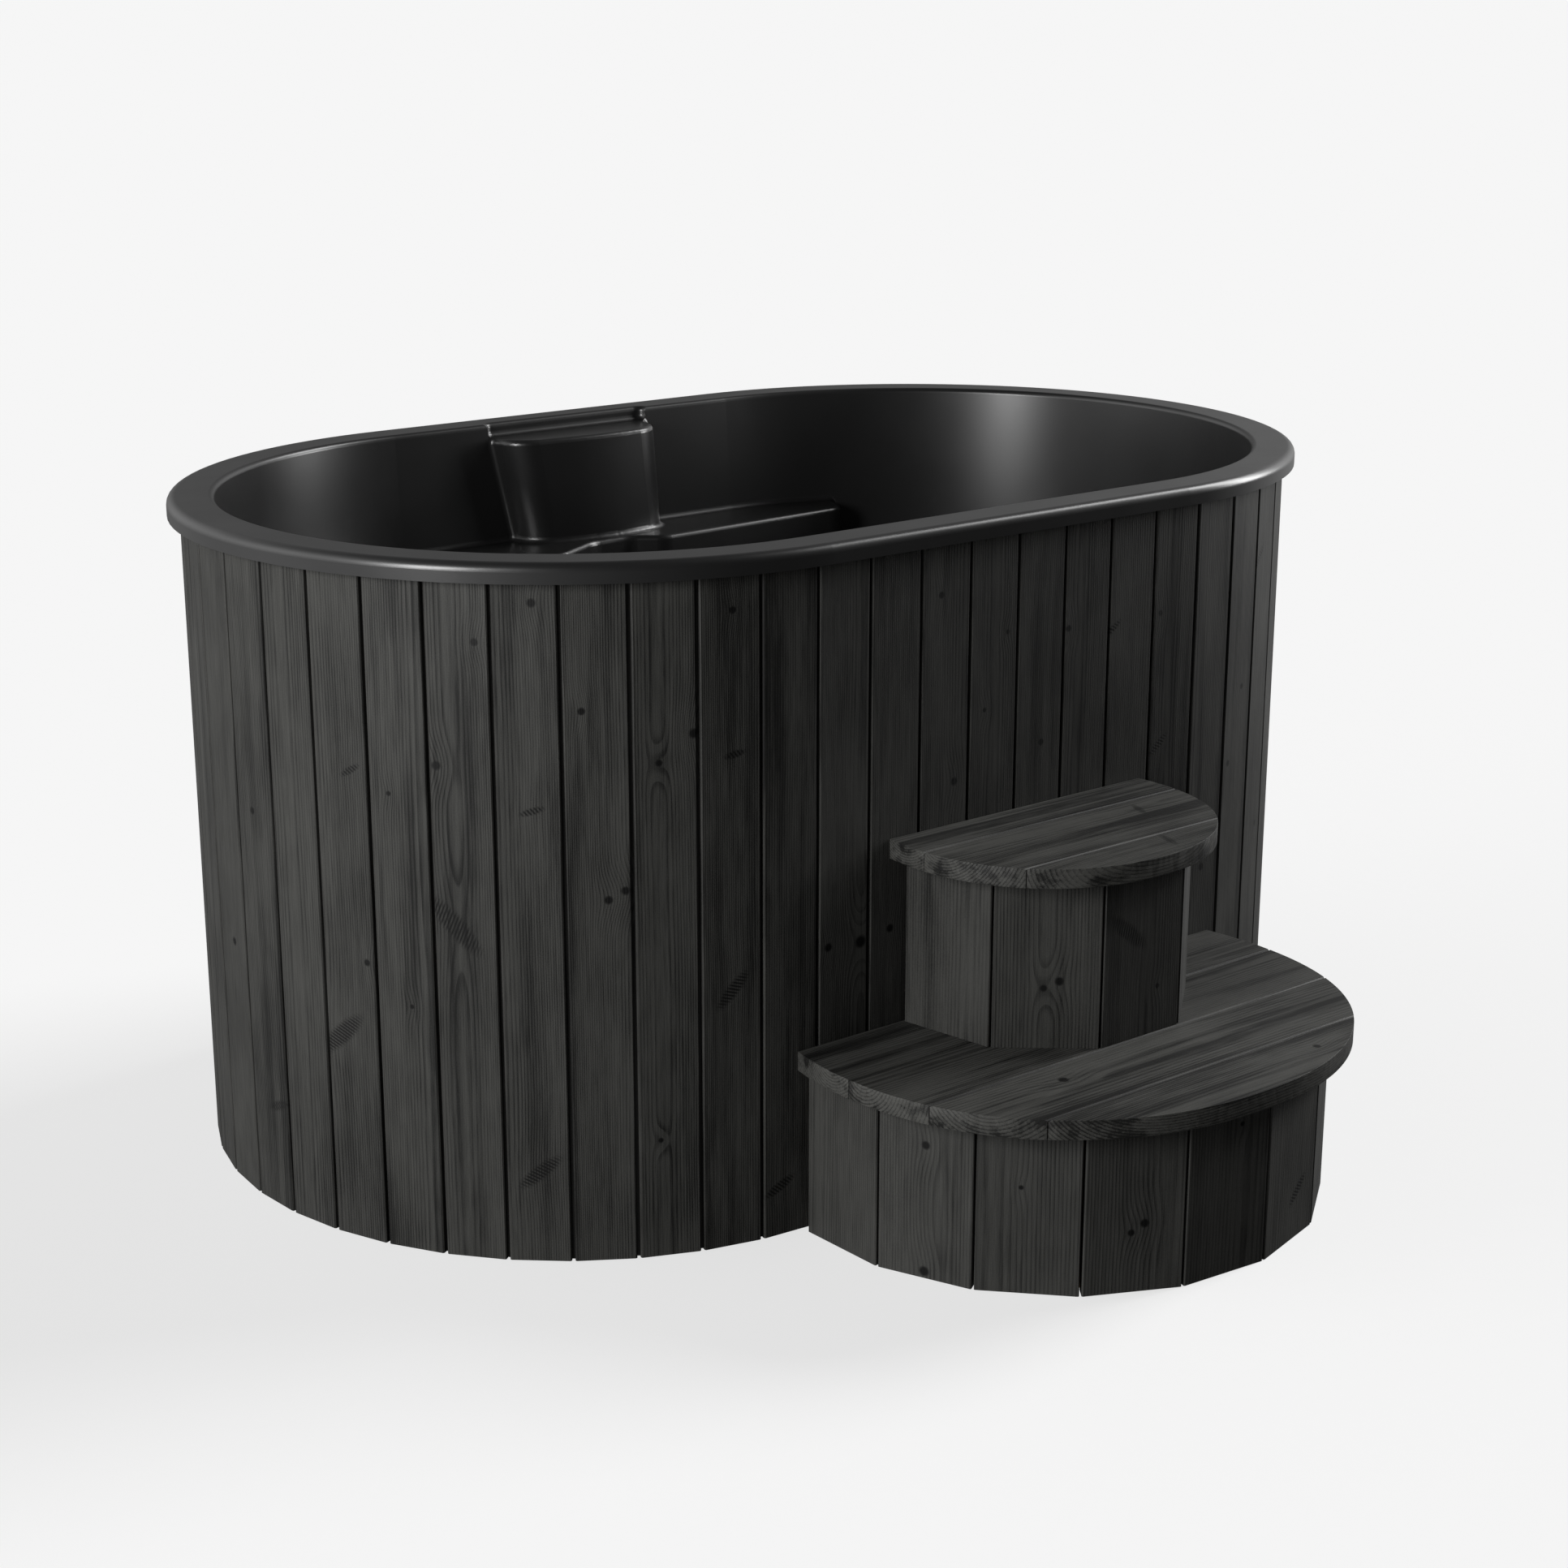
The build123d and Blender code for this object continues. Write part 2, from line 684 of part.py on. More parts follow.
def riser_board(start, end, bottom, top, bevel):
    """One upright board of a stair box, its edges bevelled to close against its neighbours."""
    width = hypot(end.X - start.X, end.Y - start.Y)
    slope = riser_thickness * tan(radians(bevel))
    left, right = riser_gap / 2, width - riser_gap / 2
    cut = face_chamfer * tan(radians(bevel))
    with BuildPart() as board:
        with BuildSketch(upright_plane(start, end).offset(bottom)):
            with BuildLine():
                Polyline((left + face_chamfer, 0), (right - face_chamfer, 0),
                         (right - cut, face_chamfer), (right - slope, riser_thickness),
                         (left + slope, riser_thickness), (left + cut, face_chamfer), close=True)
            make_face()
        extrude(amount=top - bottom)
        with Locations((0, stair_back + clear_of_all / 2, top)):
            Box(clear_of_all, clear_of_all, clear_of_all, mode=Mode.SUBTRACT)
    return board.part


def former_radius(radius, step):
    """Radius that touches the middles of a stair box's boards from inside, less a hair of play."""
    return radius * cos(radians(step / 2)) - riser_thickness - former_play


def box_former(centre_y, radius, step, bottom):
    """D-shaped plate inside a stair box that its boards are screwed to."""
    with BuildPart() as former:
        with BuildSketch(Plane.XY.offset(bottom)):
            with Locations((box_x, centre_y)):
                Circle(former_radius(radius, step))
            with Locations((box_x, stair_back - clear_of_all / 2)):
                Rectangle(clear_of_all, clear_of_all, mode=Mode.INTERSECT)
        extrude(amount=former_thickness)
    return former.part


def box_posts(half_spread, bottom, top):
    """Two square posts at the back corners of a stair box."""
    with BuildPart() as posts:
        with Locations((box_x - half_spread, stair_back - post_side / 2, (bottom + top) / 2),
                       (box_x + half_spread, stair_back - post_side / 2, (bottom + top) / 2)):
            Box(post_side, post_side, top - bottom)
    return posts.part


def screw_places(seams, centre_y, inside):
    """Two screws in each plank of a tread, in the part of it that lies over the former."""
    lines = [0.0] + list(seams) + [stair_back - centre_y + inside]
    places = []
    for near, far in zip(lines[:-1], lines[1:]):
        y = stair_back - (near + far) / 2
        spread = 0.6 * sqrt(inside ** 2 - (y - centre_y) ** 2)
        for x in (box_x - spread, box_x + spread):
            places.append((x, y))
    return places


def tread_screw(x, y, former_bottom):
    """Countersunk screw driven up through a former into a plank."""
    length = former_thickness + screw_bite
    with BuildPart() as screw:
        with BuildSketch(Plane.XZ.offset(-y)):
            with BuildLine():
                Polyline((x, former_bottom), (x + screw_head, former_bottom),
                         (x + screw_radius, former_bottom + screw_sink),
                         (x + screw_radius, former_bottom + length - screw_point),
                         (x, former_bottom + length), close=True)
            make_face()
        revolve(axis=Axis((x, y, 0), (0, 0, 1)))
    return screw.part


def drilled(piece, screws):
    """A piece with its screw holes, each the shape of its screw."""
    with BuildPart() as result:
        add(piece)
        for screw in screws:
            add(screw, mode=Mode.SUBTRACT)
    return result.part


def save_tier(name, bottom, tread_top, box, tread, seams, post_spread):
    """Make and save every piece of one tier of the stair, and return its screws."""
    centre_y, radius, first_angle, step = box
    box_top = tread_top - tread_thickness
    former_bottom = box_top - former_thickness
    corners = box_corners(centre_y, radius, first_angle, step)
    for number, (left, right) in enumerate(zip(corners[:-1], corners[1:]), start=1):
        save(riser_board(left, right, bottom, box_top, step / 2), name + "_riser_" + str(number))
    places = screw_places(seams, centre_y, former_radius(radius, step))
    screws = [tread_screw(x, y, former_bottom) for x, y in places]
    for number, plank in enumerate(tread_planks(*tread, tread_top, seams), start=1):
        save(drilled(plank, screws), name + "_tread_" + str(number))
    save(drilled(box_former(centre_y, radius, step, former_bottom), screws), name + "_top_former")
    save(box_former(centre_y, radius, step, bottom), name + "_foot_former")
    save(box_posts(post_spread, bottom + former_thickness, former_bottom), name + "_posts")
    return screws


# Making and saving every piece

save(liner_shell(), "liner_shell")
save(Compound(cladding_side(lambda m: abs(m.X) < straight_half and m.Y < 0)), "front_cladding")
save(Compound(cladding_side(lambda m: m.X >= straight_half)), "right_cladding")
back_boards = cladding_side(lambda m: abs(m.X) < straight_half and m.Y > 0)
save(Compound(pipe_hole(back_boards)), "back_cladding")
save(Compound(cladding_side(lambda m: m.X <= -straight_half)), "left_cladding")

save(hoop(rim_hoop_inner, rim_hoop_bottom, hoop_thickness), "rim_hoop")
save(hoop(middle_hoop_inner, middle_hoop_bottom, hoop_thickness), "middle_hoop")
save(hoop(foot_hoop_inner, 0, deck_thickness), "foot_hoop")
save(base_deck(), "base_deck")
save(deck_sheet(deck_left_seam, deck_right_seam, panel_front, panel_back), "drain_panel")
for number, place in enumerate(joist_places, start=1):
    save(base_joist(place), "base_joist_" + str(number))

save(drain_fitting(), "drain_fitting")
save(drain_strainer(), "drain_strainer")
save(drain_ring(flange_radius - gasket_inset, tail_radius, deck_top - gasket_thickness, deck_top),
     "drain_gasket")
save(drain_locknut(), "drain_locknut")
save(drain_elbow(), "drain_elbow")
pipe_end = valve_y - valve_half + valve_socket
save(pipe_sleeve(pipe_radius, pipe_bore, elbow_end - pipe_socket, pipe_end), "drain_pipe")
save(pipe_sleeve(pipe_radius + collar_width, pipe_radius, end_radius, end_radius + collar_thickness),
     "pipe_collar")
save(valve_body(), "valve_body")
front_seat = valve_seat(valve_y - seat_reach, valve_y - seat_near)
back_seat = valve_seat(valve_y + seat_near, valve_y + seat_reach)
save(Compound([front_seat, back_seat]), "valve_seats")
save(outlet_spigot(), "outlet_spigot")
save(stem_stack(packing_nut_shape, neck_top, neck_top + packing_nut_height), "packing_nut")
save(valve_ball(), "valve_ball")
save(valve_stem(), "valve_stem")
save(valve_lever(), "valve_lever")
save(lever_grip(), "lever_grip")
lever_nut_bottom = lever_bottom + lever_thickness
save(stem_stack(lever_nut_shape, lever_nut_bottom, lever_nut_bottom + lever_nut_height), "lever_nut")

lower_screws = save_tier("lower", 0, lower_tread_top, lower_box, lower_tread, lower_seams, lower_post_spread)
upper_screws = save_tier("upper", lower_tread_top, upper_tread_top, upper_box, upper_tread, upper_seams,
                         upper_post_spread)
save(Compound(lower_screws + upper_screws), "tread_screws")
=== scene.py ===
"""The looks of a timber-clad plunge tub and its two-tier stair: black-stained pine round a moulded black liner."""
import math
import random

import bmesh
import bpy
from mathutils import Matrix, Vector


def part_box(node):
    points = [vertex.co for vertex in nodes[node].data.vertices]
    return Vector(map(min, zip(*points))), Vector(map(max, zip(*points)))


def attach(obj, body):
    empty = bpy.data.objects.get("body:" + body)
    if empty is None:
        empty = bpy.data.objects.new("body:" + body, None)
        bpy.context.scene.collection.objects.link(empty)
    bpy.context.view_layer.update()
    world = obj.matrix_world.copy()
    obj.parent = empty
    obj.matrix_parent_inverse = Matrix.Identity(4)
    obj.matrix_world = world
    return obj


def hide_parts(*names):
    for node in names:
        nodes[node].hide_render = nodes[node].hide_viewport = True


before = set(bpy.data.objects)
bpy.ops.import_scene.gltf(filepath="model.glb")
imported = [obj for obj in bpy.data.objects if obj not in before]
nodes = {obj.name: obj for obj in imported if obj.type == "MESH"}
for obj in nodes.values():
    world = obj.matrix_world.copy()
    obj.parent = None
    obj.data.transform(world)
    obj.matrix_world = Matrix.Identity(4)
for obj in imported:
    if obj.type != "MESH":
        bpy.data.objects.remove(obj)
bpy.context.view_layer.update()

# The camera stands at eye height, to the left of the stair, and looks down across the tub.
camera = bpy.data.objects.new("camera", bpy.data.cameras.new("camera"))
camera.location = (-2.5132, -3.2455, 1.650)
camera.rotation_euler = (math.radians(73.580), 0, math.radians(-38.294))
camera.data.sensor_width = 36
camera.data.lens = 63.018
bpy.context.collection.objects.link(camera)
bpy.context.scene.camera = camera
bpy.context.scene.view_settings.view_transform = "Standard"


class Shade:
    """A value in a material. Arithmetic on it adds Math nodes, and node() adds any other kind."""

    def __init__(self, tree, socket=None):
        self.tree = tree
        self.socket = socket

    def node(self, kind, settings=None, sockets=None, out=0):
        made = self.tree.nodes.new(kind)
        for name, value in (settings or {}).items():
            if name == "stops":
                ramp = made.color_ramp.elements
                for place, (position, colour) in enumerate(value):
                    stop = ramp[place] if place < 2 else ramp.new(position)
                    stop.position, stop.color = position, (*colour, 1)
            else:
                setattr(made, name, value)
        for name, value in (sockets or {}).items():
            if isinstance(value, Shade):
                self.tree.links.new(value.socket, made.inputs[name])
            else:
                made.inputs[name].default_value = value
        return Shade(self.tree, made.outputs[out])

    def math(self, operation, first, second=0.0):
        return self.node("ShaderNodeMath", {"operation": operation}, {0: first, 1: second})

    def __add__(self, other):
        return self.math("ADD", self, other)

    def __radd__(self, other):
        return self.math("ADD", other, self)

    def __sub__(self, other):
        return self.math("SUBTRACT", self, other)

    def __rsub__(self, other):
        return self.math("SUBTRACT", other, self)

    def __mul__(self, other):
        return self.math("MULTIPLY", self, other)

    def __rmul__(self, other):
        return self.math("MULTIPLY", other, self)

    def __truediv__(self, other):
        return self.math("DIVIDE", self, other)

    def __pow__(self, other):
        return self.math("POWER", self, other)

    def between(self, low, high, start=0.0, end=1.0):
        """Eases from start to end while this value goes from low to high."""
        return self.node("ShaderNodeMapRange", {"interpolation_type": "SMOOTHSTEP"},
                         {"Value": self, "From Min": low, "From Max": high, "To Min": start, "To Max": end})

    def point(self, x, y, z):
        return self.node("ShaderNodeCombineXYZ", {}, {0: x, 1: y, 2: z})

    def parts(self):
        return [self.node("ShaderNodeSeparateXYZ", {}, {0: self}, axis) for axis in range(3)]

    def noise(self, scale, detail=2.0, roughness=0.5, seed=0.0):
        return self.node("ShaderNodeTexNoise", {"noise_dimensions": "4D"},
                         {"Vector": self, "W": seed, "Scale": scale, "Detail": detail, "Roughness": roughness})

    def blend(self, colour, other):
        """This value's share of the second colour over the first."""
        return self.node("ShaderNodeMix", {"data_type": "RGBA", "clamp_factor": True},
                         {"Factor": self, 6: colour, 7: other}, 2)

    def bump(self, distance, strength=1.0):
        return self.node("ShaderNodeBump", {}, {"Height": self, "Distance": distance, "Strength": strength})


def finish_material(name):
    """A new material, its shader, and a Shade to start from."""
    material = bpy.data.materials.new(name)
    material.use_nodes = True
    tree = material.node_tree
    return material, tree.nodes["Principled BSDF"], Shade(tree)


def feed(shader, values):
    """Sets a shader's sockets to numbers, colours or Shades."""
    for name, value in values.items():
        if isinstance(value, Shade):
            value.tree.links.new(value.socket, shader.inputs[name])
        else:
            shader.inputs[name].default_value = value


# The floor is a seamless pale studio sheet. Only the camera sees it, so that the tub is lit by the studio alone.
floor_reach = 200.0
floor_mesh = bpy.data.meshes.new("studio_floor")
floor_mesh.from_pydata([(-floor_reach, -floor_reach, -0.0005), (floor_reach, -floor_reach, -0.0005),
                        (floor_reach, floor_reach, -0.0005), (-floor_reach, floor_reach, -0.0005)],
                       [], [(0, 1, 2, 3)])
floor = bpy.data.objects.new("studio_floor", floor_mesh)
bpy.context.collection.objects.link(floor)
floor.visible_diffuse = False
floor.visible_glossy = False
floor_material, shader, start = finish_material("pale_paper")
speckle = start.node("ShaderNodeTexCoord", out=3).noise(40.0, 3.0)
feed(shader, {"Base Color": speckle.blend((0.275, 0.275, 0.275, 1), (0.285, 0.285, 0.285, 1)), "Roughness": 1.0,
              "Specular IOR Level": 0.0, "Emission Color": (1, 1, 1, 1), "Emission Strength": 0.712})
floor_mesh.materials.append(floor_material)

# The studio is dark in front. Pale walls stand behind the tub, and the floor throws a little light up at its left.
# The eye sees the same pale sheet above the horizon as on the floor.
world = bpy.data.worlds.new("studio")
bpy.context.scene.world = world
world.use_nodes = True
studio = Shade(world.node_tree)
along, across, up = studio.node("ShaderNodeTexCoord").parts()


def glow(azimuth, elevation, tightness, level):
    """Soft light from one direction, fading all round it."""
    turn, tilt = math.radians(azimuth), math.radians(elevation)
    facing = (along * (math.cos(tilt) * math.cos(turn)) + across * (math.cos(tilt) * math.sin(turn))
              + up * math.sin(tilt))
    return studio.math("EXPONENT", (facing - 1.0) * tightness) * level


back_left, back, right_end = glow(150, 15, 9, 2.1), glow(100, 15, 9, 0.85), glow(15, 12, 9, 0.85)
off_floor = glow(-150, -25, 6, 0.45)
lit = back_left + back + right_end + off_floor + 0.02
seen = studio.node("ShaderNodeLightPath")
backdrop = 0.915
level = lit + seen * (backdrop - lit)
feed(world.node_tree.nodes["Background"], {"Color": level.point(level, level, level), "Strength": 1.0})


def lamp(kind, name, place, target, energy):
    """A lamp at a place, turned to face a target."""
    data = bpy.data.lights.new(name, kind)
    data.energy = energy
    obj = bpy.data.objects.new(name, data)
    obj.location = place
    obj.rotation_euler = (Vector(target) - Vector(place)).to_track_quat("-Z", "Y").to_euler()
    bpy.context.collection.objects.link(obj)
    return obj


# Two tall soft boxes stand off the tub's ends and light the tub alone. A large window far off to the right throws the
# soft shadow, and its light on the floor is set apart from its light on the tub.
tub_only = bpy.data.collections.new("not_the_floor")
tub_only.objects.link(floor)
tub_only.collection_objects[0].light_linking.link_state = "EXCLUDE"
for name, place, height, watts in (("left_box", (-3.4, -1.0, 1.7), 1.5, 98), ("right_box", (3.3, -1.2, 1.6), 1.3, 58)):
    box = lamp("AREA", name, place, (0, 0, 0.7), watts)
    box.data.shape = "RECTANGLE"
    box.data.size, box.data.size_y = 0.8, height
    box.light_linking.receiver_collection = tub_only
floor_only = bpy.data.collections.new("the_floor")
floor_only.objects.link(floor)
for name, place, strength, receivers in (("window", (8.0, -1.4, 5.7), 1.5, tub_only),
                                         ("window_on_floor", (8.06, -1.0, 4.7), 3.1, floor_only)):
    window = lamp("SUN", name, place, (0, 0, 0), strength)
    window.data.angle = math.radians(24)
    window.light_linking.receiver_collection = receivers

# The frame that carries the tub is never stained: plywood hoops and deck, and planed softwood joists under them.
# Blender keeps these CAD pieces and gives them their finish.


def pale_timber(name, plies):
    """Bare softwood, or plywood whose edges show its plies."""
    material, shader, start = finish_material(name)
    place = start.node("ShaderNodeTexCoord", out=3)
    x, y, z = place.parts()
    drawn_out = place.point(x * 60, y * 2.5, z * 60) if not plies else place.point(x * 4, y * 30, z * 60)
    fibre = drawn_out.noise(1.0, 4.0, 0.6)
    ply = 0.0015
    if plies:
        rings = place.math("PINGPONG", z, ply) / ply
    else:
        rings = start.math("SINE", x * 240 + fibre * 5) * 0.5 + 0.5
    blotch = place.noise(7.0, 3.0)
    tone = rings * 0.3 + fibre * 0.4 + blotch * 0.3
    feed(shader, {"Base Color": tone.blend((0.36, 0.22, 0.11, 1), (0.68, 0.50, 0.31, 1)),
                  "Roughness": fibre.between(0.2, 0.8, 0.55, 0.75),
                  "Normal": (fibre + rings * 0.4).bump(0.0006, 0.6)})
    return material


def dress(material, *names):
    """Gives CAD nodes one material."""
    for name in names:
        nodes[name].data.materials.clear()
        nodes[name].data.materials.append(material)


def soften(obj, angle=30):
    """Smooth shading, kept sharp at edges steeper than an angle."""
    obj.data.shade_smooth()
    obj.data.set_sharp_from_angle(angle=math.radians(angle))


dress(pale_timber("plywood", True), "rim_hoop", "middle_hoop", "foot_hoop", "base_deck", "drain_panel",
      "lower_top_former", "lower_foot_former", "upper_top_former", "upper_foot_former")
joists = ["base_joist_%d" % number for number in range(1, 6)]
dress(pale_timber("planed_softwood", False), *joists, "lower_posts", "upper_posts")

# The cladding is 55 pine boards, 88 mm to the next, tongued, grooved and chamfered, then stained black. They stand
# on the floor round a stadium outline, against three hoops inside, with an open groove at each joint.
end_radius = 0.562
straight_half = 0.327
board_count = 55
perimeter = 4 * straight_half + 2 * math.pi * end_radius
board_pitch = perimeter / board_count
first_groove = -0.9772
board_height = 0.946
board_thickness = 0.020
groove = 0.005
chamfer = 0.0016
tongue_back, tongue_thickness, tongue_reach = 0.008, 0.005, 0.006
slot_depth, slot_play = 0.0065, 0.0015


def outline_point(s):
    """Point on the tub's outline, s along it from the left end of its front."""
    half_turn = math.pi * end_radius
    side = 2 * straight_half
    s = s % perimeter
    if s < side:
        return Vector((-straight_half + s, -end_radius, 0))
    if s < side + half_turn:
        angle = (s - side) / end_radius
        return Vector((straight_half + end_radius * math.sin(angle), -end_radius * math.cos(angle), 0))
    if s < 2 * side + half_turn:
        return Vector((straight_half - (s - side - half_turn), end_radius, 0))
    angle = (s - 2 * side - half_turn) / end_radius
    return Vector((-straight_half - end_radius * math.sin(angle), end_radius * math.cos(angle), 0))


def stained_pine(name, light, dark, contrast):
    """Black-stained pine: growth rings cut by the board, knots, pores, streaks of deeper stain and raised grain."""
    material, shader, start = finish_material(name)
    read = {}
    for attribute in ("grain", "heart", "knot_1", "knot_2", "knot_3", "lean", "temper"):
        read[attribute] = start.node("ShaderNodeAttribute", {"attribute_name": attribute}, out=1).parts()
    across, along, deep = read["grain"]
    heart_across, heart_deep, ring_width = read["heart"]
    # A board's tone differs at random; on one riser it also carries painted bounce light.
    seed, tone, streaks = read["temper"]
    here = start.point(across, along, deep)
    wander = here.point(across * 6, along * 1.6, deep * 6).noise(1.0, 2.0, 0.5, seed) - 0.5
    sway = here.point(0.0, along * 1.7, 0.0).noise(1.0, 1.0, 0.5, seed + 31) - 0.5
    off_heart = across - heart_across - sway * 0.012
    below_heart = deep + heart_deep + wander * 0.0035
    ring_radius = (off_heart * off_heart + below_heart * below_heart) ** 0.5
    knots, smears, swirl = 0.0, 0.0, 0.0
    for k in range(3):
        knot_across, knot_along, size = read["knot_%d" % (k + 1)]
        slope = read["lean"][k]
        leaning = start.math("ABSOLUTE", slope).between(0.0, 0.3)
        right, above = across - knot_across, along - knot_along
        scale = (slope * slope + 1.0) ** 0.5
        lengthwise, sideways = (right + above * slope) / scale, (above - right * slope) / scale
        lengthwise_share = lengthwise / (leaning * 2.6 + 1.0)
        reach = (lengthwise_share * lengthwise_share + sideways * sideways) ** 0.5
        spread = reach / (size * 1.3 + 0.0001) + wander * 0.4
        barbs = start.math("SINE", lengthwise * 1250 + sideways * 600) * 0.45 + 0.60
        shape = spread.between(0.55, 1.2, 1.0, 0.0)
        knots = knots + shape * (1.0 - leaning)
        smears = smears + shape * leaning * barbs
        away = (right * right + above * above * 0.30) / (size * size * 14.0 + 0.000001)
        swirl = swirl + size * 1.3 * start.math("EXPONENT", away * -1.0) * (1.0 - leaning * 0.75)
    ring = start.math("FRACT", (ring_radius + swirl) / ring_width + wander * 0.6)
    late = ring.between(0.35, 0.85) * ring.between(0.88, 1.0, 1.0, 0.0)
    fibre = here.point(across * 1100, along * 22, deep * 1100).noise(1.0, 2.0, 0.6, seed)
    fleck = here.point(across * 300, along * 9, deep * 300).noise(1.0, 3.0, 0.6, seed + 5)
    streak = here.point(across * 42, along * 1.8, deep * 42).noise(1.0, 2.5, 0.55, seed + 11)
    cloud = here.point(across * 11, along * 5, deep * 11).noise(1.0, 3.0, 0.6, seed + 17)
    pores = here.noise(750.0, 2.0, 0.6, seed + 23)
    depth = (late * cloud.between(0.3, 0.7, 0.22, 0.48) + streak.between(0.46, 0.70) * streaks
             + (fleck - 0.5) * 0.8 + (fibre - 0.5) * 0.9 + (pores - 0.5) * 0.9 + (cloud - 0.5) * 0.7
             + 0.24 + (1.0 - tone))
    depth = (depth - 0.45) * contrast + 0.45
    knot_mask = start.math("MINIMUM", knots, 1.0)
    darkest = tuple(c * 0.2 for c in dark[:3]) + (1,)
    colour = (knot_mask + smears).blend(depth.blend(light, dark), darkest)
    height = late * 0.5 + fibre * 0.6 + fleck * 0.4 - knot_mask * 0.4 - smears * 0.6
    feed(shader, {"Base Color": colour, "Roughness": (fleck * 0.5 + late * 0.3).between(0.1, 0.7, 0.50, 0.66),
                  "Specular IOR Level": 0.24, "Normal": height.bump(0.0005, 0.5)})
    return material


def set_grain(obj, to_board, heart, knots, temper):
    """Stores what the stain's material reads: each point's place in the board, its heart, knots and temper."""
    mesh = obj.data
    count = len(mesh.vertices)
    places = [to_board(vertex.co) for vertex in mesh.vertices]
    layer = mesh.attributes.new("grain", "FLOAT_VECTOR", "POINT")
    layer.data.foreach_set("vector", [number for place in places for number in place])
    knots = (list(knots) + [(9.0, 9.0, 0.0, 0.0)] * 3)[:3]
    values = {"heart": heart, "temper": temper, "lean": tuple(knot[3] for knot in knots)}
    for k, knot in enumerate(knots):
        values["knot_%d" % (k + 1)] = knot[:3]
    for name, value in values.items():
        layer = mesh.attributes.new(name, "FLOAT_VECTOR", "POINT")
        layer.data.foreach_set("vector", list(value) * count)


def ease_edges(obj, width, segments=2):
    """Rounds a board's arrises."""
    bevel = obj.modifiers.new("eased_edges", "BEVEL")
    bevel.width = width
    bevel.segments = segments
    bevel.limit_method = "ANGLE"
    bevel.angle_limit = math.radians(25)
    bevel.harden_normals = False


black_cladding = stained_pine("black_stained_cladding", (0.047, 0.0468, 0.0435, 1), (0.0045, 0.0045, 0.0041, 1), 1.25)
# The knots of the boards in front, by board from the left: millimetres from its middle, height, size, and the slope
# of a branch that the saw cut lengthwise. The boards behind get theirs by chance.
cladding_knots = {
    0: [(4, 364, 5, 0)],
    1: [(20, 152, 6, 0.4), (-6, 572, 4, 0)],
    3: [(16, 664, 4, 0.6), (-18, 292, 10, 0.9), (30, 402, 4, 0)],
    4: [(8, 350, 3, 0), (-14, 640, 3, 0)],
    5: [(24, 848, 4, 0), (-32, 684, 5, 0), (-15, 470, 11, -1.1)],
    6: [(2, 128, 8, 0.8), (4, 628, 4, 0.3), (10, 900, 5, 0)],
    7: [(-18, 760, 4, 0), (12, 508, 5, 0), (34, 520, 5, 0)],
    8: [(-8, 688, 4, 0), (38, 724, 6, 0), (-12, 168, 3, 0)],
    9: [(2, 368, 8, 1.1), (6, 690, 4, 0.2), (4, 880, 4, 0)],
    10: [(-16, 72, 6, 0.5), (36, 72, 5, 0)],
    11: [(-26, 400, 5, 0), (30, 396, 7, 0)],
    12: [(-6, 404, 5, 0)],
    13: [(-10, 856, 4, 0), (18, 592, 5, 0)],
    14: [(-16, 684, 3, 0), (24, 788, 3, 0)],
    15: [(4, 620, 4, 0)],
    16: [(-36, 776, 4, 0)],
    17: [(-36, 764, 4, 0.7)],
    18: [(-30, 772, 4, 0), (-24, 576, 5, 0.8)],
    19: [(-1, 364, 5, 0)],
    20: [(11, 624, 4, 0), (-25, 512, 4, 0)],
}


def board_profile(width):
    """Outline of a board's section: across, and depth behind its face."""
    left, right = groove / 2, width - groove / 2
    tongue_front = tongue_back + tongue_thickness
    slot_front, slot_rear = tongue_back - slot_play, tongue_front + slot_play / 2
    return [(left + chamfer, 0), (right - chamfer, 0), (right, chamfer), (right, tongue_back),
            (width + tongue_reach, tongue_back), (width + tongue_reach, tongue_front), (right, tongue_front),
            (right, board_thickness), (left, board_thickness), (left, slot_rear), (left + slot_depth, slot_rear),
            (left + slot_depth, slot_front), (left, slot_front), (left, chamfer)]


def upright_board(name, profile, origin, along, bottom, top):
    """A board standing on its end: a section drawn from a corner of its face, extruded upwards."""
    inward = Vector((-along.y, along.x, 0))
    mesh = bpy.data.meshes.new(name)
    shape = bmesh.new()
    rings = []
    for z in (bottom, top):
        rings.append([shape.verts.new(origin + along * x + inward * y + Vector((0, 0, z))) for x, y in profile])
    shape.faces.new(rings[0][::-1])
    shape.faces.new(rings[1])
    for i in range(len(profile)):
        j = (i + 1) % len(profile)
        shape.faces.new((rings[0][i], rings[0][j], rings[1][j], rings[1][i]))
    bmesh.ops.recalc_face_normals(shape, faces=shape.faces)
    shape.to_mesh(mesh)
    shape.free()
    obj = bpy.data.objects.new(name, mesh)
    bpy.context.collection.objects.link(obj)
    return obj


def bore(obj, place, radius, length):
    """Drills a hole along Y through a piece."""
    mesh = bpy.data.meshes.new("drill")
    shape = bmesh.new()
    bmesh.ops.create_cone(shape, cap_ends=True, segments=64, radius1=radius, radius2=radius, depth=length,
                          matrix=Matrix.Translation(place) @ Matrix.Rotation(math.radians(90), 4, "X"))
    shape.to_mesh(mesh)
    shape.free()
    drill = bpy.data.objects.new("drill", mesh)
    bpy.context.collection.objects.link(drill)
    cut = obj.modifiers.new("bore", "BOOLEAN")
    cut.object = drill
    cut.operation = "DIFFERENCE"
    cut.solver = "EXACT"
    graph = bpy.context.evaluated_depsgraph_get()
    drilled = bpy.data.meshes.new_from_object(obj.evaluated_get(graph))
    obj.modifiers.clear()
    obj.data = drilled
    bpy.data.objects.remove(drill)


